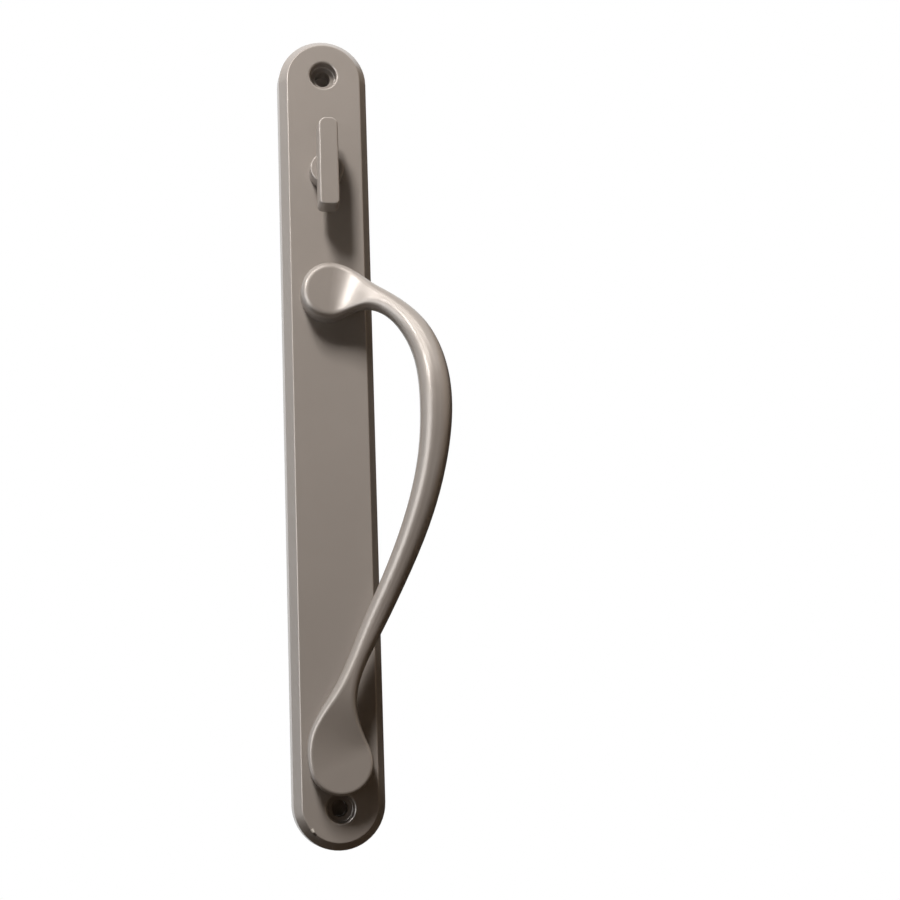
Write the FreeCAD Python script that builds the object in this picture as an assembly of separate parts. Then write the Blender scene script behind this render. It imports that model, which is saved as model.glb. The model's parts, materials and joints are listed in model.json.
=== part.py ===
import FreeCAD, Part
import math
import os

# Inside handle of a sliding patio door: a long bevelled plate, a bowed pull and a thumbturn.
# Millimetres. The back of the plate lies on Y = 0 against the door, the front faces -Y, +Z is up and the
# origin is the centre of the back. The pull bows towards +X.

V = FreeCAD.Vector
BACKWARDS = V(0, 1, 0)

# Places along the plate, from its upper end down
hole_from_end = 13.5
thumbturn_below_top_hole = 34.5
knob_below_thumbturn = 41.8
pull_span = 152.4
bottom_hole_below_pad = 14.3

# Plate
plate_width = 30.0
plate_depth = 10.0
plate_wall = 2.5
bevel_run = 2.5
bevel_drop = 4.0
side_draft = 0.3
bevel_edge_radius = 0.6

# Holes for the two screws that hold the plate to the door
mount_hole = 5.2
screw_recess_width = 8.8
screw_recess_depth = 4.0
screw_recess_lip = 0.8
screw_recess_floor_radius = 0.5
mount_boss_wall = 3.4

# Ribs across the hollow back
rib_pitch = 34.0
rib_thickness = 1.6
rib_height = 3.5

# Feet of the pull
knob_width = 18.8
knob_rise = 9.0
pad_width = 20.0
pad_rise = 9.0

# Bar of the pull: reach sideways, rise above the plate's face, width seen from the front, depth front to back
bow_reach = 31.0
bow_below_knob = 40.2
bow_rise = 25.0
bow_width = 10.0
bow_depth = 12.0
upper_neck_width = 7.4
upper_neck_depth = 9.0
upper_neck_rise = 10.0
lower_neck_width = 6.2
lower_neck_depth = 8.5
lower_neck_rise = 9.8
upper_neck_pull = 23.6
upper_neck_drop = 2.5
upper_bow_pull = 21.7
lower_bow_pull = 52.7
lower_neck_pull = 26.0
lower_neck_lean = 8.8
knob_flare = 16.3
pad_flare = 28.6

# Rims of the pull's feet, and how far a foot is sunk before its seat is cut flat
knob_rim_run = 2.2
knob_rim_drop = 2.2
pad_rim = 1.2
foot_base_radius = 0.8
seat_trim = 1.5

# How the pull's skin is drawn: share of a bar section that is corner, stations along a flare and along the bar,
# and the share of a quarter round's corner that its curve aims at
BAR_ROUNDING = 0.86
FLARE_STEPS = 4
BAR_STEPS = 3
ROUND_AIM = 0.5523
END_TOLERANCE = 1e-6

# Screws that hold the pull from behind
pull_screw = 5.0
pull_screw_length = 10.0
pull_screw_head = 9.4
pull_screw_head_height = 3.2
pull_screw_recess = 2.6
pull_screw_recess_depth = 1.8
spring_washer_wall = 1.7
spring_washer_height = 1.3
spring_washer_gap = 1.2
pull_boss_wall = 3.4
pull_boss_height = 2.2
spigot_width = 9.0
spigot_length = 1.5

# Thumbturn
collar_width = 11.0
collar_height = 6.6
collar_edge_radius = 0.5
blade_length = 29.6
blade_top_width = 6.2
blade_bottom_width = 6.4
blade_depth = 8.0
blade_draft = 0.3
blade_top_radius = 2.4
blade_bottom_radius = 1.7
blade_edge_radius = 0.6
shaft_width = 7.0

# What the thumbturn turns in and is held by
bush_wall = 1.5
bush_boss_wall = 2.4
bush_boss_height = 3.4
disc_spring_width = 11.6
disc_spring_thickness = 0.5
disc_spring_cone = 0.4
thrust_washer_width = 11.6
thrust_washer_thickness = 0.8
ring_width = 10.4
ring_thickness = 0.8
ring_groove_depth = 0.7
ring_gap = 3.0

# Tailpiece that reaches into the lock
tailpiece_width = 5.0
tailpiece_thickness = 1.6
tailpiece_reach = 30.0
tailpiece_tip_bevel = 1.0
slot_depth = 5.0
shaft_past_ring = 5.2
tailpiece_pin_width = 1.6
pin_from_shaft_end = 2.2

# Clearances
fixed_clearance = 0.02
thread_clearance = 0.05
screw_clearance = 0.2
running_clearance = 0.05
turning_gap = 0.1

# Places worked out from the sizes above
face_y = -plate_depth
ceiling_y = -(plate_depth - plate_wall)
mount_spacing = thumbturn_below_top_hole + knob_below_thumbturn + pull_span + bottom_hole_below_pad
plate_length = mount_spacing + 2 * hole_from_end
end_centre = plate_length / 2 - plate_width / 2
mount_z = mount_spacing / 2
thumbturn_z = mount_z - thumbturn_below_top_hole
knob_z = thumbturn_z - knob_below_thumbturn
pad_z = knob_z - pull_span
bush_width = shaft_width + 2 * running_clearance + 2 * bush_wall
bush_bore = bush_width + 2 * fixed_clearance
bush_back_y = ceiling_y + bush_boss_height
pull_seat_y = ceiling_y + pull_boss_height


def rounded_face(corners, z=0.0):
    """Flat face across the plate at height z, from corners given as (x, y, radius)."""
    edges = []
    starts = []
    ends = []
    count = len(corners)
    for i, (x, y, radius) in enumerate(corners):
        here = V(x, y, z)
        before = V(*corners[i - 1][:2], z)
        after = V(*corners[(i + 1) % count][:2], z)
        if radius == 0:
            starts.append(here)
            ends.append(here)
            continue
        to_before = (before - here).normalize()
        to_after = (after - here).normalize()
        half_angle = to_before.getAngle(to_after) / 2
        setback = radius / math.tan(half_angle)
        bisector = (to_before + to_after).normalize()
        nearest = here + bisector * (radius / math.sin(half_angle) - radius)
        starts.append(here + to_before * setback)
        ends.append(here + to_after * setback)
        edges.append(Part.Arc(starts[i], nearest, ends[i]).toShape())
    for i in range(count):
        following = starts[(i + 1) % count]
        if ends[i].distanceToPoint(following) > 1e-6:
            edges.append(Part.LineSegment(ends[i], following).toShape())
    return Part.Face(Part.Wire(Part.__sortEdges__(edges)))


def turned(corners, z):
    """Round piece on an axis along Y at height z, from its half section as (radius, y, corner radius)."""
    return rounded_face(corners, z).revolve(V(0, 0, z), BACKWARDS, 360)


def rod(width, y0, y1, z):
    """Plain cylinder along Y at height z, from y0 back to y1."""
    return Part.makeCylinder(width / 2, y1 - y0, V(0, y0, z), BACKWARDS)


def ring(outer, inner, y0, y1, z):
    """Flat ring along Y."""
    return rod(outer, y0, y1, z).cut(rod(inner, y0, y1, z))


def block(size_x, y0, y1, z0, z1):
    """Box centred on X = 0."""
    return Part.makeBox(size_x, y1 - y0, z1 - z0, V(-size_x / 2, y0, z0))


def round_ended(outline, front_y, back_y):
    """Bar with round ends along Z: the side outline, as (x, y, radius), run straight and swung round each end."""
    half = [(0, front_y, 0)] + outline + [(0, back_y, 0)]
    whole = outline + [(-x, y, radius) for x, y, radius in reversed(outline)]
    middle = rounded_face(whole, -end_centre).extrude(V(0, 0, 2 * end_centre))
    upper = rounded_face(half, end_centre).revolve(V(0, 0, end_centre), BACKWARDS, -180)
    lower = rounded_face(half, -end_centre).revolve(V(0, 0, -end_centre), BACKWARDS, 180)
    return middle.fuse([upper, lower]).removeSplitter()


def escutcheon_plate():
    """Hollow die-casting with bosses for its screws, for the pull and for the thumbturn's bush."""
    half_width = plate_width / 2
    wall_top = half_width - side_draft
    wall_top_y = face_y + bevel_drop
    outside = [
        (wall_top - bevel_run, face_y, bevel_edge_radius),
        (wall_top, wall_top_y, bevel_edge_radius),
        (half_width, 0, 0),
    ]
    inside = [
        (wall_top - bevel_run - plate_wall / 2, ceiling_y, 0),
        (wall_top - plate_wall, wall_top_y, 0),
        (half_width - plate_wall, 0, 0),
    ]
    hollow = round_ended(inside, ceiling_y, 0)
    body = round_ended(outside, face_y, 0)

    root_y = face_y + plate_wall / 2
    mount_boss = mount_hole + 2 * mount_boss_wall
    bosses = [rod(mount_boss, root_y, 0, z) for z in (mount_z, -mount_z)]
    bosses.append(rod(bush_bore + 2 * bush_boss_wall, root_y, bush_back_y, thumbturn_z))
    pull_boss = pull_screw + 2 * screw_clearance + 2 * pull_boss_wall
    bosses += [rod(pull_boss, root_y, pull_seat_y, z) for z in (knob_z, pad_z)]

    rib_count = int(pull_span / rib_pitch)
    rib_step = pull_span / (rib_count + 1)
    for i in range(rib_count):
        z = knob_z - (i + 1) * rib_step
        rib = block(plate_width, root_y, ceiling_y + rib_height, z - rib_thickness / 2, z + rib_thickness / 2)
        bosses.append(rib)
    body = body.cut(hollow.cut(Part.makeCompound(bosses)))

    recess_floor_y = face_y + screw_recess_depth
    holes = []
    for z in (mount_z, -mount_z):
        recess = [
            (0, face_y, 0),
            (screw_recess_width / 2, face_y, 0),
            (screw_recess_width / 2, recess_floor_y, screw_recess_floor_radius),
            (mount_hole / 2, recess_floor_y, 0),
            (mount_hole / 2, 0, 0),
            (0, 0, 0),
        ]
        holes.append(turned(recess, z))
    holes.append(rod(bush_bore, face_y, bush_back_y, thumbturn_z))
    for z in (knob_z, pad_z):
        holes.append(rod(spigot_width + 2 * fixed_clearance, face_y, face_y + spigot_length, z))
        holes.append(rod(pull_screw + 2 * screw_clearance, face_y, pull_seat_y, z))
    body = body.cut(Part.makeCompound(holes)).removeSplitter()
    circles = [edge for edge in body.Edges if isinstance(edge.Curve, Part.Circle)]
    lips = [
        edge for edge in circles
        if abs(edge.Curve.Radius - screw_recess_width / 2) < END_TOLERANCE
        and abs(edge.Curve.Center.y - face_y) < END_TOLERANCE
    ]
    return body.makeFillet(screw_recess_lip, lips)


def ease(share):
    """Goes from 1 at share 0 to 0 at share 1, level at both ends."""
    return math.cos(math.pi / 2 * min(max(share, 0.0), 1.0)) ** 2


def blend(start, end, share):
    """Value between start and end, level at both ends."""
    return end + (start - end) * ease(share)


def taper(start, end, share):
    """Value that goes straight from start to end, and stays there."""
    return start + (end - start) * min(share, 1.0)


def bezier(points):
    """Cubic curve through the first and last of four points, aimed by the two between."""
    curve = Part.BezierCurve()
    curve.setPoles(points)
    return curve


def line_poles(start, end):
    """Straight side of a section as the four points of a cubic curve."""
    third = (end - start) / 3
    return [start, start + third, end - third, end]


def corner_poles(start, corner, end):
    """Quarter-round corner of a section as the four points of a cubic curve."""
    return [start, start + (corner - start) * ROUND_AIM, end + (corner - end) * ROUND_AIM, end]


def pull_section(station):
    """Sides of one closed section of the pull, across its run: one half and then its mirror image."""
    across = V(station.along.z, 0, -station.along.x).normalize()

    def half(side):
        def at(reach, rise):
            return V(station.place.x, face_y - rise, station.place.z) + across * (side * reach)

        wide = station.half_width
        front, back = station.front_rise, station.back_rise
        front_x, front_y = station.front_corner
        back_x, back_y = station.back_corner
        return [
            line_poles(at(0, front), at(wide - front_x, front)),
            corner_poles(at(wide - front_x, front), at(wide, front), at(wide, front - front_y)),
            line_poles(at(wide, front - front_y), at(wide, back + back_y)),
            corner_poles(at(wide, back + back_y), at(wide, back), at(wide - back_x, back)),
            line_poles(at(wide - back_x, back), at(0, back)),
        ]

    return half(1) + half(-1)


class Station:
    """One place along the pull: where its section lies, its size and the rounding of its corners.

    foot is 1 at the middle of a foot, 0 on the free bar and in between where one flares into the other.
    """

    def __init__(self, run_curve, run, foot, foot_width, foot_rise, foot_corner, width, depth, rise):
        at_end = run_curve.length() - run < END_TOLERANCE
        at = run_curve.LastParameter if at_end else run_curve.parameterAtDistance(run)
        bar = 1 - foot
        bar_corner = (BAR_ROUNDING * width / 2, BAR_ROUNDING * depth / 2)
        self.place = run_curve.value(at)
        self.along = run_curve.tangent(at)[0]
        self.half_width = bar * width / 2 + foot * foot_width / 2
        self.front_rise = bar * (rise + depth / 2) + foot * foot_rise
        self.back_rise = bar * (rise - depth / 2) - foot * seat_trim
        self.front_corner = [bar * b + foot * f for b, f in zip(bar_corner, foot_corner)]
        self.back_corner = [bar * b + foot * foot_base_radius for b in bar_corner]


def pull_stations():
    """Stations from the knob over the bow to the pad, with the length run at each."""
    knob = V(0, 0, knob_z)
    bow = V(bow_reach, 0, knob_z - bow_below_knob)
    pad = V(0, 0, pad_z)
    upper = bezier([knob, knob + V(upper_neck_pull, 0, -upper_neck_drop), bow + V(0, 0, upper_bow_pull), bow])
    lower = bezier([bow, bow - V(0, 0, lower_bow_pull), pad + V(-lower_neck_lean, 0, lower_neck_pull), pad])
    upper_length = upper.length()
    lower_length = lower.length()
    upper_free = upper_length - knob_flare
    lower_free = lower_length - pad_flare

    stations = []
    upper_runs = [knob_flare * i / FLARE_STEPS for i in range(FLARE_STEPS)]
    upper_runs += [knob_flare + upper_free * i / BAR_STEPS for i in range(BAR_STEPS)]
    for run in upper_runs:
        rest = (run - knob_flare) / upper_free
        stations.append((run, Station(
            upper, run, ease(run / knob_flare), knob_width, knob_rise, (knob_rim_run, knob_rim_drop),
            blend(upper_neck_width, bow_width, rest), blend(upper_neck_depth, bow_depth, rest),
            blend(upper_neck_rise, bow_rise, run / upper_length))))

    lower_runs = [lower_free * i / (2 * BAR_STEPS) for i in range(2 * BAR_STEPS)]
    lower_runs += [lower_free + pad_flare * i / FLARE_STEPS for i in range(FLARE_STEPS + 1)]
    for run in lower_runs:
        rest = run / lower_free
        stations.append((upper_length + run, Station(
            lower, run, ease((lower_length - run) / pad_flare), pad_width, pad_rise, (pad_rim, pad_rim),
            taper(bow_width, lower_neck_width, rest), blend(bow_depth, lower_neck_depth, rest),
            blend(bow_rise, lower_neck_rise, rest))))
    return stations


def pull_skin():
    """Closed skin of the pull: strips that follow the sides of its sections, and the round end of each foot."""
    stations = pull_stations()
    runs = [run for run, station in stations]
    first, last = stations[0][1], stations[-1][1]
    sections = [pull_section(station) for run, station in stations]

    faces = []
    for side in range(len(sections[0])):
        rows = []
        for pole in range(4):
            row = Part.BSplineCurve()
            row.interpolate(
                Points=[section[side][pole] for section in sections], Parameters=runs,
                InitialTangent=first.along, FinalTangent=last.along, Scale=False)
            rows.append(row)
        strip = Part.BSplineSurface()
        strip.buildFromPolesMultsKnots(
            [row.getPoles() for row in rows], [4, 4], rows[0].getMultiplicities(), [0, 1], rows[0].getKnots(),
            False, False, 3, 3)
        faces.append(strip.toShape())
    for section, z, turn in ((sections[0], knob_z, 180), (sections[-1], pad_z, -180)):
        for poles in section[: len(section) // 2]:
            faces.append(bezier(poles).toShape().revolve(V(0, 0, z), BACKWARDS, turn))
    skin = Part.Compound(faces)
    skin.sewShape()
    solid = Part.Solid(skin.Shells[0])
    if solid.Volume < 0:
        solid.reverse()
    return solid


def pull_handle():
    """One casting: round knob foot, bowed bar and teardrop pad foot, each foot tapped for a screw from behind."""
    body = pull_skin().cut(block(2 * plate_width, face_y, 0, -plate_length, plate_length))
    for z in (knob_z, pad_z):
        body = body.fuse(rod(spigot_width, face_y, face_y + spigot_length, z))
    tap_y = pull_screw_tip_y() - screw_clearance
    for z in (knob_z, pad_z):
        body = body.cut(rod(pull_screw + 2 * thread_clearance, tap_y, face_y + spigot_length, z))
    return body.removeSplitter()


def pull_screw_head_y():
    """Where the underside of a pull screw's head lies."""
    return pull_seat_y + spring_washer_height


def pull_screw_tip_y():
    """Front end of a pull screw."""
    return pull_screw_head_y() - pull_screw_length


def pull_fixing_screw(z):
    """Pan-head machine screw with a hexagon recess, entering from behind."""
    head_y = pull_screw_head_y()
    top_y = head_y + pull_screw_head_height
    outline = [
        (0, pull_screw_tip_y(), 0),
        (pull_screw / 2, pull_screw_tip_y(), 0),
        (pull_screw / 2, head_y, 0),
        (pull_screw_head / 2, head_y, 0),
        (pull_screw_head / 2, top_y, pull_screw_head_height / 3),
        (0, top_y, 0),
    ]
    screw = turned(outline, z)
    angles = [math.pi / 3 * i for i in range(7)]
    hexagon = [
        V(pull_screw_recess / 2 * math.cos(a), top_y - pull_screw_recess_depth, z + pull_screw_recess / 2 * math.sin(a))
        for a in angles
    ]
    recess = Part.Face(Part.makePolygon(hexagon)).extrude(V(0, pull_screw_recess_depth, 0))
    return screw.cut(recess)


def spring_washer(z):
    """Split washer under a pull screw's head."""
    inner = pull_screw + 2 * screw_clearance
    outer = inner + 2 * spring_washer_wall
    washer = ring(outer, inner, pull_seat_y, pull_screw_head_y(), z)
    split = block(spring_washer_gap, pull_seat_y, pull_screw_head_y(), z, z + outer)
    return washer.cut(split)


def blade_outline(grow, y):
    """Outline of the thumb blade at y, wider at the bottom, grown by its draft."""
    top_z = thumbturn_z + blade_length / 2 + grow
    bottom_z = thumbturn_z - blade_length / 2 - grow
    top_half = blade_top_width / 2 + grow
    bottom_half = blade_bottom_width / 2 + grow
    corners = [
        (top_half, top_z, blade_top_radius),
        (bottom_half, bottom_z, blade_bottom_radius),
        (-bottom_half, bottom_z, blade_bottom_radius),
        (-top_half, top_z, blade_top_radius),
    ]
    flat = rounded_face(corners).OuterWire
    flat.rotate(V(0, 0, 0), V(1, 0, 0), 90)
    flat.translate(V(0, y, 0))
    return flat


def thumbturn_places():
    """Places along Y of the pieces behind the bush, from the front."""
    spring_y = bush_back_y + turning_gap
    washer_y = spring_y + disc_spring_thickness + disc_spring_cone + turning_gap
    ring_y = washer_y + thrust_washer_thickness
    shaft_end_y = ring_y + ring_thickness + shaft_past_ring
    return spring_y, washer_y, ring_y, shaft_end_y


def thumbturn():
    """Thumb blade, collar and slotted shaft in one casting."""
    spring_y, washer_y, ring_y, shaft_end_y = thumbturn_places()
    collar_back_y = face_y - turning_gap
    collar_front_y = collar_back_y - collar_height
    blade_front_y = collar_front_y - blade_depth
    blade = Part.makeLoft([blade_outline(blade_draft, collar_front_y), blade_outline(0, blade_front_y)], True, True)
    front_edges = [edge for edge in blade.Edges if abs(edge.BoundBox.YMax - blade_front_y) < 1e-4]
    blade = blade.makeFillet(blade_edge_radius, front_edges)

    groove_radius = shaft_width / 2 - ring_groove_depth
    outline = [
        (0, collar_front_y, 0),
        (collar_width / 2, collar_front_y, collar_edge_radius),
        (collar_width / 2, collar_back_y, 0),
        (shaft_width / 2, collar_back_y, 0),
        (shaft_width / 2, ring_y, 0),
        (groove_radius, ring_y, 0),
        (groove_radius, ring_y + ring_thickness, 0),
        (shaft_width / 2, ring_y + ring_thickness, 0),
        (shaft_width / 2, shaft_end_y, ring_groove_depth),
        (0, shaft_end_y, 0),
    ]
    body = turned(outline, thumbturn_z).fuse(blade)
    slot_width = tailpiece_thickness + 2 * fixed_clearance
    half_slot = tailpiece_width / 2 + fixed_clearance
    slot = block(slot_width, shaft_end_y - slot_depth, shaft_end_y, thumbturn_z - half_slot, thumbturn_z + half_slot)
    return body.cut(slot).cut(cross_pin(fixed_clearance))


def cross_pin(grow):
    """Pin across the shaft and the tailpiece, or the hole for it when grown by a clearance."""
    shaft_end_y = thumbturn_places()[-1]
    length = shaft_width
    start = V(-length / 2, shaft_end_y - pin_from_shaft_end, thumbturn_z)
    return Part.makeCylinder(tailpiece_pin_width / 2 + grow, length, start, V(1, 0, 0))


def thumbturn_bush():
    """Plain bush pressed into the plate's boss."""
    return ring(bush_width, shaft_width + 2 * running_clearance, face_y, bush_back_y, thumbturn_z)


def disc_spring():
    """Dished washer whose friction keeps the thumbturn where it is put."""
    spring_y = thumbturn_places()[0]
    inner = shaft_width / 2 + screw_clearance
    outer = disc_spring_width / 2
    outline = [
        (inner, spring_y + disc_spring_cone, 0),
        (outer, spring_y, 0),
        (outer, spring_y + disc_spring_thickness, 0),
        (inner, spring_y + disc_spring_cone + disc_spring_thickness, 0),
    ]
    return turned(outline, thumbturn_z)


def thrust_washer():
    """Flat washer between the disc spring and the retaining ring."""
    washer_y = thumbturn_places()[1]
    inner = shaft_width + 2 * thread_clearance
    return ring(thrust_washer_width, inner, washer_y, washer_y + thrust_washer_thickness, thumbturn_z)


def retaining_ring():
    """Open ring that snaps into the shaft's groove."""
    ring_y = thumbturn_places()[2]
    inner = shaft_width - 2 * ring_groove_depth + 2 * fixed_clearance
    body = ring(ring_width, inner, ring_y, ring_y + ring_thickness, thumbturn_z)
    return body.cut(block(ring_gap, ring_y, ring_y + ring_thickness, thumbturn_z, thumbturn_z + ring_width))


def tailpiece():
    """Flat blade with a bevelled tip, pinned in the shaft's slot."""
    start_y = thumbturn_places()[-1] - slot_depth
    half = tailpiece_width / 2
    corners = [
        (start_y, -half),
        (tailpiece_reach - tailpiece_tip_bevel, -half),
        (tailpiece_reach, tailpiece_tip_bevel - half),
        (tailpiece_reach, half - tailpiece_tip_bevel),
        (tailpiece_reach - tailpiece_tip_bevel, half),
        (start_y, half),
    ]
    points = [V(-tailpiece_thickness / 2, y, thumbturn_z + z) for y, z in corners]
    blade = Part.Face(Part.makePolygon(points + points[:1])).extrude(V(tailpiece_thickness, 0, 0))
    return blade.cut(cross_pin(fixed_clearance))


pieces = {
    "escutcheon_plate": escutcheon_plate(),
    "pull_handle": pull_handle(),
    "upper_pull_screw": pull_fixing_screw(knob_z),
    "lower_pull_screw": pull_fixing_screw(pad_z),
    "upper_spring_washer": spring_washer(knob_z),
    "lower_spring_washer": spring_washer(pad_z),
    "thumbturn": thumbturn(),
    "thumbturn_bush": thumbturn_bush(),
    "disc_spring": disc_spring(),
    "thrust_washer": thrust_washer(),
    "retaining_ring": retaining_ring(),
    "tailpiece": tailpiece(),
    "tailpiece_pin": cross_pin(0),
}

os.makedirs("parts", exist_ok=True)
for name, shape in pieces.items():
    shape.exportStep(f"parts/{name}.step")
    print(name, shape.isValid(), len(shape.Solids), round(shape.Volume, 1))
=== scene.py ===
import json
import math

import bpy
from bpy.props import FloatProperty, FloatVectorProperty, PointerProperty
from mathutils import Matrix, Vector


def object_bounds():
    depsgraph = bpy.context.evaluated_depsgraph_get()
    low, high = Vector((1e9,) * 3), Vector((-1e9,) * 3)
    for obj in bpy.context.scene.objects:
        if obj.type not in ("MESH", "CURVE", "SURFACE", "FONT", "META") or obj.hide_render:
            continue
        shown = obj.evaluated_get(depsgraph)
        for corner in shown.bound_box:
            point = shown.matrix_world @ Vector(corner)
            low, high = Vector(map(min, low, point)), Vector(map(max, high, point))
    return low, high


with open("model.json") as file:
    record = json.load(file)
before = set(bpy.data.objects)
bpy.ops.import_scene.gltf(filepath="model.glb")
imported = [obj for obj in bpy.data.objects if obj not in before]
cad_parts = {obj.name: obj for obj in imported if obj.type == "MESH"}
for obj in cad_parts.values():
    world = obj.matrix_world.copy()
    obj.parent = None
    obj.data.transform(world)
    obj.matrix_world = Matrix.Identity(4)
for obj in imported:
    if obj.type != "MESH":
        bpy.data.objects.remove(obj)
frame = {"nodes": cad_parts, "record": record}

bl_info = {
    "name": "Sliding patio door handle",
    "version": (1, 0, 0),
    "blender": (4, 5, 0),
    "location": "3D View > Sidebar > Door handle",
    "description": "Finishes for the handle's castings, steel pieces and bush, and a studio to see them in",
    "category": "Object",
}

CAD_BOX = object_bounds()
MILLIMETRE = 0.001

# Which pieces take which finish
CHIPPED_CASTINGS = ("escutcheon_plate",)
PAINTED_CASTINGS = ("pull_handle", "thumbturn")
PLATED_STEEL = ("upper_pull_screw", "lower_pull_screw", "thrust_washer", "tailpiece", "tailpiece_pin")
SPRING_STEEL = ("upper_spring_washer", "lower_spring_washer", "disc_spring", "retaining_ring")
ACETAL_BUSHES = ("thumbturn_bush",)

# Nearly all the values of a noise lie between these two
NOISE_LOW = 0.3
NOISE_HIGH = 0.7

# Sockets of a colour mix, by their place in the node
MIX_FACTOR = 0
MIX_FIRST = 6
MIX_SECOND = 7
MIX_RESULT = 2

# Paint: blotches of tone as a share of the colour, patches of gloss, and the clear coat
BLOTCH_SIZE = 0.03
BLOTCH_SHARE = 0.01
GLOSS_PATCH_SIZE = 0.004
GLOSS_SWING = 0.02
PAINT_METALLIC = 0.3
PAINT_COAT = 0.35
PAINT_COAT_ROUGHNESS = 0.2

# Chip, and the dent beside it painted as a dark spot of shade: shares of the chip's half width
CHIP_GRAIN = 1 / 2
CHIP_RAGGED = 1 / 3
CHIP_CORE = 0.7
DENT_SHADE_WIDTH = 1.2

# Steel: stains as shares of the colour, and a fine grain in the gloss
STAIN_SIZE = 0.003
STAIN_LOW = 0.35
STAIN_DARK = 0.8
STAIN_LIGHT = 1.1
STEEL_GRAIN = 0.0003
STEEL_GRAIN_HEIGHT = 0.000004
STEEL_SMOOTHER = 0.06
STEEL_ROUGHER = 0.08
PLATED_ROUGHNESS = 0.3
SPRING_ROUGHNESS = 0.38

# Acetal: mottled between two tones
ACETAL_DARK = (0.74, 0.72, 0.65)
ACETAL_LIGHT = (0.82, 0.8, 0.74)
ACETAL_MOTTLE = 0.002
ACETAL_ROUGHNESS = 0.45

# How the photograph was taken: turned to the right, tilted up, and rolled a little
CAMERA_PLACE = Vector((-50.19, -573.65, -94.14)) * MILLIMETRE
CAMERA_YAW = 0.15679
CAMERA_PITCH = 0.15172
CAMERA_ROLL = 0.0345
CAMERA_LENS_MM = 70.0
CAMERA_NEAREST = 0.01

# Colours of the light
WHITE = (1, 1, 1)
KEY_WHITE = (1, 0.96, 0.92)
WINDOW_WHITE = (1, 0.98, 0.96)
STRIP_WHITE = (0.98, 0.99, 1)
LEFT_WHITE = (0.97, 0.99, 1)
AMBIENT_BROWN = (1, 0.58, 0.3)

# Cards of the stage: name, direction from the handle, distance, side and colour
CARDS = (
    ("left_card", (-1, 0.15, 0.1), 1.2, 1.0, (0.45, 0.53, 0.61)),
    ("right_card", (1, 0, -0.1), 0.6, 1.8, (0.24, 0.19, 0.14)),
    ("back_card", (0.75, 0.65, -0.15), 0.5, 0.8, (0.03, 0.028, 0.025)),
    ("lower_card", (0, -0.2, -1), 0.23, 0.8, (0.05, 0.038, 0.028)),
    ("front_card", (0.1, -1, 0), 1.2, 1.8, (0.03, 0.024, 0.018)),
)
MATTE_ROUGHNESS = 0.9

# Floor: it keeps its shadow near the handle and is plain white further out
FLOOR_RADIUS = 4.0
FLOOR_SIDES = 96
FLOOR_COLOUR = (0.86, 0.86, 0.86)
FLOOR_ROUGHNESS = 0.7
FLOOR_FADE_START = 0.25
FLOOR_FADE_END = 0.45

# Shades behind the screw holes
HOLE_SHADE_DEPTH = 0.0002
HOLE_SHADE_SIDES = 32
HOLE_SHADE_COLOUR = (0.5, 0.46, 0.42)
HOLE_SHADE_SPECULAR = 0.1


class PaintSettings(bpy.types.PropertyGroup):
    """Satin paint on the plate, the pull and the thumbturn."""

    colour: FloatVectorProperty(
        name="Colour", description="Warm grey of the paint", subtype="COLOR", size=3, min=0, max=1,
        default=(0.3, 0.272, 0.25))
    roughness: FloatProperty(
        name="Roughness", description="How dull the satin is", subtype="FACTOR", min=0, max=1, default=0.36)
    grain: FloatProperty(
        name="Grain", description="Size of the paint's orange peel", subtype="DISTANCE", unit="LENGTH",
        min=0.0001, max=0.01, default=0.0005)
    grain_height: FloatProperty(
        name="Grain height", description="Height of the orange peel", subtype="DISTANCE", unit="LENGTH",
        min=0, max=0.0001, default=0.000004)


class ChipSettings(bpy.types.PropertyGroup):
    """Small chip in the plate's paint, near the lower left edge."""

    place: FloatVectorProperty(
        name="Place", description="Middle of the chip on the plate's face", subtype="XYZ", unit="LENGTH",
        size=3, default=(-0.00928, -0.010, -0.12793))
    size: FloatProperty(
        name="Size", description="Half the width of the chip", subtype="DISTANCE", unit="LENGTH",
        min=0.0001, max=0.005, default=0.0008)
    colour: FloatVectorProperty(
        name="Bare metal", description="Zinc that shows in the chip", subtype="COLOR", size=3, min=0, max=1,
        default=(0.85, 0.82, 0.76))
    dent: FloatVectorProperty(
        name="Dent", description="From the chip to the dent beside it", subtype="XYZ", unit="LENGTH", size=3,
        default=(0.0006, 0, -0.0014))
    # Painted shade: the dent has no relief, and its shade is this dark colour
    dent_shade_colour: FloatVectorProperty(
        name="Dent colour", description="Dirt in the dent", subtype="COLOR", size=3, min=0, max=1,
        default=(0.06, 0.05, 0.045))


class SteelSettings(bpy.types.PropertyGroup):
    """Zinc-plated steel and dark spring steel."""

    plated: FloatVectorProperty(
        name="Plated steel", description="Colour of the bright zinc plating", subtype="COLOR", size=3,
        min=0, max=1, default=(0.62, 0.61, 0.58))
    spring: FloatVectorProperty(
        name="Spring steel", description="Colour of the oiled spring steel", subtype="COLOR", size=3,
        min=0, max=1, default=(0.24, 0.23, 0.22))


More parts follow.
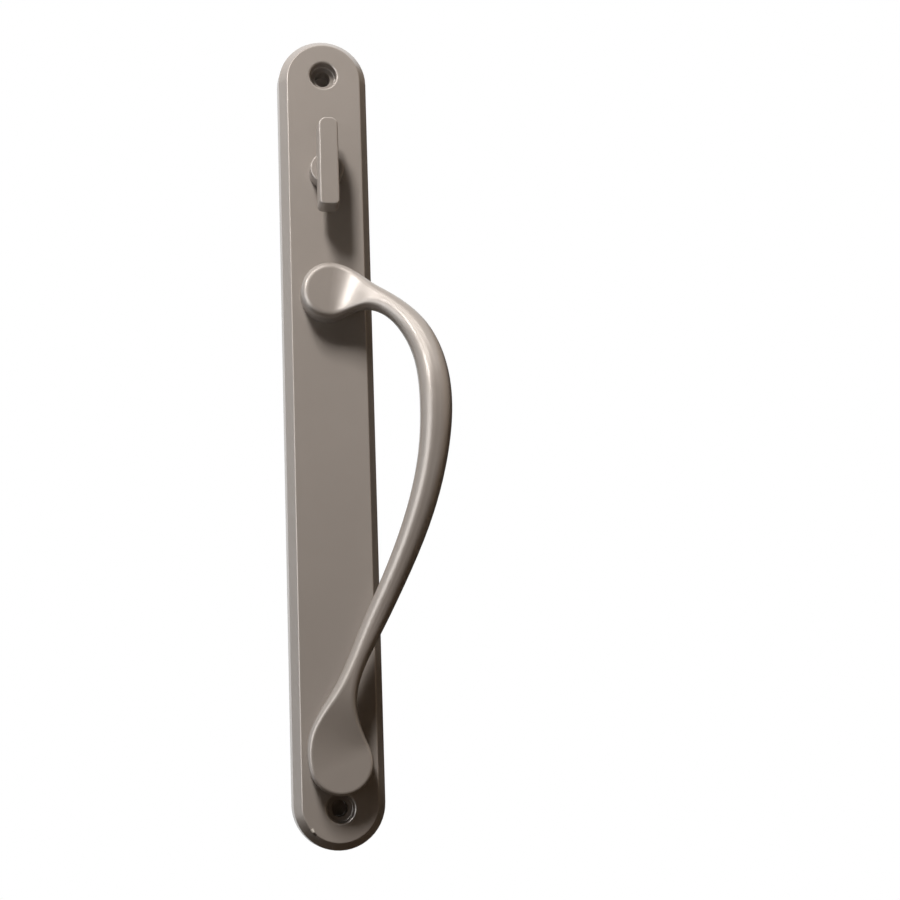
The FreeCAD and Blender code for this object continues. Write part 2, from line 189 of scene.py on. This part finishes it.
class StageSettings(bpy.types.PropertyGroup):
    """Lights and floor."""

    key_power: FloatProperty(
        name="Key light", description="Power of the main light, above and to the left", subtype="POWER",
        unit="POWER", min=0, default=23.0)
    key_size: FloatProperty(
        name="Key size", description="Width of the main light", subtype="DISTANCE", unit="LENGTH",
        min=0.01, default=0.165)
    key_height: FloatProperty(
        name="Key height", description="Height of the main light", subtype="DISTANCE", unit="LENGTH",
        min=0.01, default=0.37)
    key_distance: FloatProperty(
        name="Key distance", description="From the handle to the main light", subtype="DISTANCE",
        unit="LENGTH", min=0.3, default=1.15)
    key_gloss_power: FloatProperty(
        name="Key gloss", description="Power of the main light as the gloss shows it", subtype="POWER",
        unit="POWER", min=0, default=4.9)
    left_power: FloatProperty(
        name="Left light", description="Power of the broad light along the wall from the left",
        subtype="POWER", unit="POWER", min=0, default=0.8)
    window_power: FloatProperty(
        name="Window light", description="Power of the light that shows as a bright patch in the gloss",
        subtype="POWER", unit="POWER", min=0, default=2.9)
    strip_power: FloatProperty(
        name="Strip light", description="Power of the tall light that draws a pale band down the bar",
        subtype="POWER", unit="POWER", min=0, default=4.2)
    back_power: FloatProperty(
        name="Back light", description="Power of the broad light behind the handle", subtype="POWER",
        unit="POWER", min=0, default=10.0)
    ambient: FloatProperty(
        name="Ambient", description="Light from all round", min=0, max=2, default=0.08)
    floor_drop: FloatProperty(
        name="Floor drop", description="From the handle's lower end down to the floor", subtype="DISTANCE",
        unit="LENGTH", min=0, default=0.18)


class HandleSettings(bpy.types.PropertyGroup):
    """All the settings of the handle."""

    paint: PointerProperty(type=PaintSettings, name="Paint", description="Paint on the castings")
    chip: PointerProperty(type=ChipSettings, name="Chip", description="Chip in the plate's paint")
    steel: PointerProperty(type=SteelSettings, name="Steel", description="Colours of the steel pieces")
    stage: PointerProperty(type=StageSettings, name="Stage", description="Lights and floor")


def set_inputs(tree, node, inputs):
    """Sets a node's inputs, by name or place, each to a value or to another node's output."""
    for key, value in inputs.items():
        socket = node.inputs[key]
        if isinstance(value, bpy.types.NodeSocket):
            tree.links.new(value, socket)
        else:
            socket.default_value = value


def add_node(tree, kind, inputs, **options):
    """New node of that kind, with its inputs and its own options set."""
    node = tree.nodes.new(kind)
    for name, value in options.items():
        setattr(node, name, value)
    set_inputs(tree, node, inputs)
    return node


def add_math(tree, operation, first, second):
    """Output of a math node on two values or sockets."""
    return add_node(tree, "ShaderNodeMath", {0: first, 1: second}, operation=operation).outputs["Value"]


def add_ramp(tree, factor, low, high, low_colour, high_colour):
    """Colour that goes from one to the other as factor goes from low to high."""
    node = add_node(tree, "ShaderNodeValToRGB", {"Fac": factor})
    ends = node.color_ramp.elements
    for end, place, colour in zip(ends, (low, high), (low_colour, high_colour)):
        end.position = place
        end.color = (*colour, 1)
    return node.outputs["Color"]


def add_range(tree, value, low, high, to_low, to_high):
    """Value mapped from low..high to to_low..to_high."""
    node = add_node(tree, "ShaderNodeMapRange", {
        "Value": value, "From Min": low, "From Max": high, "To Min": to_low, "To Max": to_high})
    return node.outputs["Result"]


def add_noise(tree, place, size, detail):
    """Noise with blotches of about that size in metres."""
    node = add_node(tree, "ShaderNodeTexNoise", {"Vector": place, "Scale": 1 / size, "Detail": detail})
    return node.outputs["Fac"]


def add_bump(tree, height, distance):
    """Normal of a surface that rises by distance where height is 1."""
    node = add_node(tree, "ShaderNodeBump", {"Height": height, "Strength": 1.0, "Distance": distance})
    return node.outputs["Normal"]


def add_mix(tree, factor, first, second):
    """Colour that is the first where factor is 0 and the second, a fixed colour, where it is 1."""
    inputs = {MIX_FACTOR: factor, MIX_FIRST: first, MIX_SECOND: (*second, 1)}
    return add_node(tree, "ShaderNodeMix", inputs, data_type="RGBA").outputs[MIX_RESULT]


def new_material(name):
    """Material with one shader; returns the material, its node tree and the shader."""
    material = bpy.data.materials.new(name)
    material.use_nodes = True
    tree = material.node_tree
    return material, tree, tree.nodes["Principled BSDF"]


def object_place(tree):
    """Place on the piece, in metres."""
    return tree.nodes.new("ShaderNodeTexCoord").outputs["Object"]


def turn_into(tree, shader, factor, other):
    """Makes the material change from its own shader to the other as factor goes from 0 to 1."""
    mix = add_node(tree, "ShaderNodeMixShader", {"Fac": factor, 1: shader.outputs["BSDF"], 2: other})
    set_inputs(tree, tree.nodes["Material Output"], {"Surface": mix.outputs["Shader"]})


def tinted(colour, share):
    """The same colour, lighter or darker."""
    return [min(1.0, channel * share) for channel in colour]


def dress(material, names):
    """Gives the named pieces this material."""
    for name in names:
        frame["nodes"][name].material_slots[0].material = material


def paint_material(name, paint):
    """Satin paint: soft blotches of tone and gloss and a fine orange peel."""
    material, tree, shader = new_material(name)
    place = object_place(tree)
    blotches = add_noise(tree, place, BLOTCH_SIZE, detail=1.0)
    darker = tinted(paint.colour, 1 - BLOTCH_SHARE)
    lighter = tinted(paint.colour, 1 + BLOTCH_SHARE)
    patches = add_noise(tree, place, GLOSS_PATCH_SIZE, detail=3.0)
    smoother = paint.roughness - GLOSS_SWING
    rougher = paint.roughness + GLOSS_SWING
    peel = add_noise(tree, place, paint.grain, detail=2.0)
    set_inputs(tree, shader, {
        "Base Color": add_ramp(tree, blotches, NOISE_LOW, NOISE_HIGH, darker, lighter),
        "Roughness": add_range(tree, patches, NOISE_LOW, NOISE_HIGH, smoother, rougher),
        "Normal": add_bump(tree, peel, paint.grain_height),
        "Metallic": PAINT_METALLIC,
        "Coat Weight": PAINT_COAT,
        "Coat Roughness": PAINT_COAT_ROUGHNESS,
    })
    return material


def chipped_paint_material(name, paint, chip):
    """The same paint, with one small chip down to the bare zinc and, beside it, the painted shade of a dent.
    """
    material = paint_material(name, paint)
    tree = material.node_tree
    shader = tree.nodes["Principled BSDF"]
    place = object_place(tree)
    edge = add_noise(tree, place, chip.size * CHIP_GRAIN, detail=3.0)
    swing = chip.size * CHIP_RAGGED
    ragged = add_range(tree, edge, NOISE_LOW, NOISE_HIGH, -swing, swing)
    middle = Vector(chip.place)
    colour = shader.inputs["Base Color"].links[0].from_socket
    # Painted shade: the dent is a dark spot of colour beside the chip; the chip itself shows bare zinc
    for centre, size, tone in (
            (middle + Vector(chip.dent), chip.size * DENT_SHADE_WIDTH, chip.dent_shade_colour),
            (middle, chip.size, chip.colour)):
        away = add_node(tree, "ShaderNodeVectorMath", {0: place, 1: centre}, operation="DISTANCE")
        reach = add_math(tree, "ADD", away.outputs["Value"], ragged)
        inside = add_range(tree, reach, size * CHIP_CORE, size, 1, 0)
        colour = add_mix(tree, inside, colour, tone)
    set_inputs(tree, shader, {"Base Color": colour})
    return material


def steel_material(name, colour, roughness):
    """Plated or bare steel with a fine grain and a little stain."""
    material, tree, shader = new_material(name)
    place = object_place(tree)
    stain = add_noise(tree, place, STAIN_SIZE, detail=4.0)
    darker = tinted(colour, STAIN_DARK)
    lighter = tinted(colour, STAIN_LIGHT)
    grain = add_noise(tree, place, STEEL_GRAIN, detail=2.0)
    smoother = roughness - STEEL_SMOOTHER
    rougher = roughness + STEEL_ROUGHER
    set_inputs(tree, shader, {
        "Base Color": add_ramp(tree, stain, STAIN_LOW, NOISE_HIGH, darker, lighter),
        "Roughness": add_range(tree, grain, NOISE_LOW, NOISE_HIGH, smoother, rougher),
        "Normal": add_bump(tree, grain, STEEL_GRAIN_HEIGHT),
        "Metallic": 1.0,
    })
    return material


def acetal_material(name):
    """Natural acetal, slightly mottled."""
    material, tree, shader = new_material(name)
    mottle = add_noise(tree, object_place(tree), ACETAL_MOTTLE, detail=3.0)
    set_inputs(tree, shader, {
        "Base Color": add_ramp(tree, mottle, NOISE_LOW, NOISE_HIGH, ACETAL_DARK, ACETAL_LIGHT),
        "Roughness": ACETAL_ROUGHNESS,
    })
    return material


class HANDLE_OT_paint_castings(bpy.types.Operator):
    """Paint the plate, the pull and the thumbturn"""

    bl_idname = "handle.paint_castings"
    bl_label = "Paint the castings"

    def execute(self, context):
        settings = context.scene.door_handle
        chipped = chipped_paint_material("satin_paint_chipped", settings.paint, settings.chip)
        dress(paint_material("satin_paint", settings.paint), PAINTED_CASTINGS)
        dress(chipped, CHIPPED_CASTINGS)
        return {"FINISHED"}


class HANDLE_OT_finish_steel(bpy.types.Operator):
    """Finish the screws, washers, rings and tailpiece"""

    bl_idname = "handle.finish_steel"
    bl_label = "Finish the steel"

    def execute(self, context):
        steel = context.scene.door_handle.steel
        dress(steel_material("zinc_plated_steel", steel.plated, PLATED_ROUGHNESS), PLATED_STEEL)
        dress(steel_material("oiled_spring_steel", steel.spring, SPRING_ROUGHNESS), SPRING_STEEL)
        return {"FINISHED"}


class HANDLE_OT_finish_bush(bpy.types.Operator):
    """Finish the thumbturn's bush"""

    bl_idname = "handle.finish_bush"
    bl_label = "Finish the bush"

    def execute(self, context):
        dress(acetal_material("natural_acetal"), ACETAL_BUSHES)
        return {"FINISHED"}


def add_camera():
    """Camera where the photographer stood."""
    bpy.ops.object.camera_add()
    camera = bpy.context.object
    camera.name = "photo_camera"
    ahead = math.cos(CAMERA_PITCH)
    forward = Vector((math.sin(CAMERA_YAW) * ahead, math.cos(CAMERA_YAW) * ahead, math.sin(CAMERA_PITCH)))
    level = Vector((math.cos(CAMERA_YAW), -math.sin(CAMERA_YAW), 0))
    down = forward.cross(level)
    right = level * math.cos(CAMERA_ROLL) + down * math.sin(CAMERA_ROLL)
    up = level * math.sin(CAMERA_ROLL) - down * math.cos(CAMERA_ROLL)
    turn = Matrix((right, up, -forward)).transposed().to_4x4()
    camera.matrix_world = Matrix.Translation(CAMERA_PLACE) @ turn
    camera.data.lens = CAMERA_LENS_MM
    camera.data.clip_start = CAMERA_NEAREST
    bpy.context.scene.camera = camera


def seen_directly(tree):
    """Is 1 for rays from the camera, from a gloss or through glass, and 0 for light that falls on things."""
    path = tree.nodes.new("ShaderNodeLightPath").outputs
    shown = add_math(tree, "MAXIMUM", path["Is Camera Ray"], path["Is Glossy Ray"])
    return add_math(tree, "MAXIMUM", shown, path["Is Transmission Ray"])


def white_world(ambient):
    """White to look at, with only a little light from all round."""
    world = bpy.data.worlds.new("white_room")
    bpy.context.scene.world = world
    world.use_nodes = True
    tree = world.node_tree
    shown = seen_directly(tree)
    set_inputs(tree, tree.nodes["Background"], {
        "Strength": add_range(tree, shown, 0, 1, ambient, 1),
        "Color": add_ramp(tree, shown, 0, 1, AMBIENT_BROWN, WHITE),
    })


def add_softbox(name, direction, distance, power, size, colour, in_gloss=True, on_paint=True):
    """Soft light, width by height, that shines on the handle from that direction.

    in_gloss is whether it shows in reflections, on_paint whether it lights a dull surface.
    """
    towards = Vector(direction).normalized()
    bpy.ops.object.light_add(type="AREA", location=towards * distance)
    lamp = bpy.context.object
    lamp.name = name
    lamp.rotation_euler = towards.to_track_quat("Z", "Y").to_euler()
    lamp.visible_camera = False
    lamp.visible_glossy = in_gloss
    lamp.visible_diffuse = on_paint
    lamp.data.shape = "RECTANGLE"
    lamp.data.size, lamp.data.size_y = size
    lamp.data.energy = power
    lamp.data.color = colour


def add_lights(stage):
    """Main light, as it falls on the paint and as the gloss shows it, and the lights round about."""
    key = {
        "direction": (-0.267, -0.588, 0.764),
        "distance": stage.key_distance,
        "size": (stage.key_size, stage.key_height),
        "colour": KEY_WHITE,
    }
    add_softbox("key_light", power=stage.key_power, in_gloss=False, **key)
    add_softbox("key_gloss", power=stage.key_gloss_power, on_paint=False, **key)
    add_softbox(
        "left_light", direction=(-1, -0.1, -0.25), distance=0.9, power=stage.left_power, size=(0.3, 0.6),
        colour=LEFT_WHITE)
    add_softbox(
        "window_light", direction=(-0.65, -0.56, 0.52), distance=0.9, power=stage.window_power,
        size=(0.26, 0.12), colour=WINDOW_WHITE, on_paint=False)
    add_softbox(
        "strip_light", direction=(-0.88, -0.48, -0.15), distance=0.9, power=stage.strip_power,
        size=(0.6, 0.7), colour=STRIP_WHITE, on_paint=False)
    add_softbox(
        "back_light", direction=(-0.1, 0.98, 0.1), distance=1.0, power=stage.back_power, size=(0.6, 0.6),
        colour=WHITE, in_gloss=False)


def matte_material(name, colour, specular):
    """Dull material of one colour; returns the material, its node tree and the shader."""
    material, tree, shader = new_material(name)
    set_inputs(tree, shader, {
        "Base Color": (*colour, 1),
        "Roughness": MATTE_ROUGHNESS,
        "Specular IOR Level": specular,
    })
    return material, tree, shader


def add_card(name, direction, distance, side, colour):
    """Card that keeps the room's white out of the gloss on one side; the camera looks past it."""
    towards = Vector(direction).normalized()
    bpy.ops.object.select_all(action="DESELECT")
    bpy.ops.mesh.primitive_plane_add(
        size=side, location=towards * distance, rotation=towards.to_track_quat("Z", "Y").to_euler())
    card = bpy.context.object
    card.name = name
    card.visible_camera = False
    card.visible_shadow = False
    card.data.materials.append(matte_material(name, colour, specular=0.0)[0])


def floor_material():
    """Pale floor that keeps the shadow near the handle and fades to the white of the room."""
    material, tree, shader = new_material("pale_floor")
    set_inputs(tree, shader, {"Base Color": (*FLOOR_COLOUR, 1), "Roughness": FLOOR_ROUGHNESS})
    away = add_node(tree, "ShaderNodeVectorMath", {0: object_place(tree)}, operation="LENGTH")
    fade = add_range(tree, away.outputs["Value"], FLOOR_FADE_START, FLOOR_FADE_END, 0, 1)
    white = add_node(tree, "ShaderNodeEmission", {"Strength": 1.0})
    turn_into(tree, shader, add_math(tree, "MULTIPLY", fade, seen_directly(tree)), white.outputs["Emission"])
    return material


def add_floor(drop):
    """Floor below the handle's lower end."""
    bpy.ops.object.select_all(action="DESELECT")
    bpy.ops.mesh.primitive_circle_add(
        vertices=FLOOR_SIDES, radius=FLOOR_RADIUS, fill_type="NGON", location=(0, 0, CAD_BOX[0].z - drop))
    floor = bpy.context.object
    floor.name = "floor"
    floor.data.materials.append(floor_material())


def add_hole_shades():
    """Dark behind each screw hole, as on a door. Seen from behind, the hole stays open."""
    pattern = next(mount for mount in frame["record"]["mounts"] if mount["kind"] == "bolt_pattern")
    reach = pattern["dims"]["spacing_y_mm"] / 2 * MILLIMETRE
    radius = pattern["dims"]["hole_r_mm"] * MILLIMETRE
    material, tree, shader = matte_material("hole_shade", HOLE_SHADE_COLOUR, HOLE_SHADE_SPECULAR)
    behind = tree.nodes.new("ShaderNodeNewGeometry").outputs["Backfacing"]
    clear = tree.nodes.new("ShaderNodeBsdfTransparent").outputs["BSDF"]
    turn_into(tree, shader, behind, clear)
    for name, height in (("upper_hole_shade", reach), ("lower_hole_shade", -reach)):
        bpy.ops.object.select_all(action="DESELECT")
        bpy.ops.mesh.primitive_circle_add(
            vertices=HOLE_SHADE_SIDES, radius=radius, fill_type="NGON",
            location=(0, -HOLE_SHADE_DEPTH, height), rotation=(math.pi / 2, 0, 0))
        shade = bpy.context.object
        shade.name = name
        shade.data.materials.append(material)


class HANDLE_OT_set_stage(bpy.types.Operator):
    """Set up the camera, the white room, the lights, the cards, the floor and the hole shades"""

    bl_idname = "handle.set_stage"
    bl_label = "Set the stage"

    def execute(self, context):
        stage = context.scene.door_handle.stage
        context.scene.view_settings.view_transform = "Standard"
        add_camera()
        white_world(stage.ambient)
        add_lights(stage)
        for card in CARDS:
            add_card(*card)
        add_floor(stage.floor_drop)
        add_hole_shades()
        return {"FINISHED"}


OPERATORS = (HANDLE_OT_paint_castings, HANDLE_OT_finish_steel, HANDLE_OT_finish_bush, HANDLE_OT_set_stage)


class HANDLE_PT_panel(bpy.types.Panel):
    """Lists what makes the handle, in order"""

    bl_idname = "HANDLE_PT_panel"
    bl_label = "Door handle"
    bl_space_type = "VIEW_3D"
    bl_region_type = "UI"
    bl_category = "Door handle"

    def draw(self, context):
        for operator in OPERATORS:
            self.layout.operator(operator.bl_idname)


SETTINGS = (PaintSettings, ChipSettings, SteelSettings, StageSettings, HandleSettings)


def register():
    for made in (*SETTINGS, *OPERATORS, HANDLE_PT_panel):
        bpy.utils.register_class(made)
    bpy.types.Scene.door_handle = PointerProperty(type=HandleSettings)


def unregister():
    del bpy.types.Scene.door_handle
    for made in reversed((*SETTINGS, *OPERATORS, HANDLE_PT_panel)):
        bpy.utils.unregister_class(made)


def main():
    register()
    bpy.ops.handle.paint_castings()
    bpy.ops.handle.finish_steel()
    bpy.ops.handle.finish_bush()
    bpy.ops.handle.set_stage()


if __name__ == "__main__":
    main()
